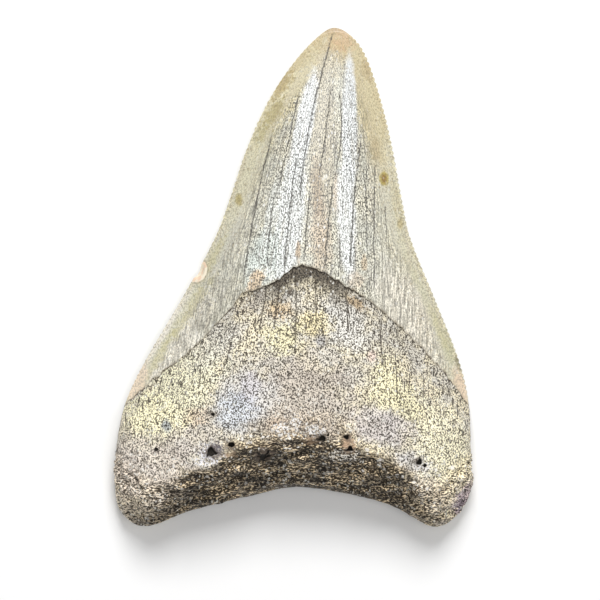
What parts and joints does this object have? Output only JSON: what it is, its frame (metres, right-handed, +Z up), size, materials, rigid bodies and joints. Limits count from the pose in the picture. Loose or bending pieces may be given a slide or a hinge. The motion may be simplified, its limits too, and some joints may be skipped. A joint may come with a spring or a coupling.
{
  "type": "megalodon tooth",
  "caption": "Fossil shark tooth lying on its flat face: a triangular enamel crown with serrated edges over a bulging, lobed, porous root.",
  "frame": {"origin": "middle of the underside of the box around the tooth, on the surface that it lies on", "axes": "+X across the tooth, +Y from the root to the tip, +Z up, out of the flat face that it lies on and through the bulging face"},
  "size_m": [0.061, 0.0848, 0.0178],
  "materials": {
    "fossil": "satin grey-cream enamel over a matt, pitted, yellow-brown root"
  },
  "bodies": {
    "root": {"tooth": "fossil"}
  },
  "joints": []
}
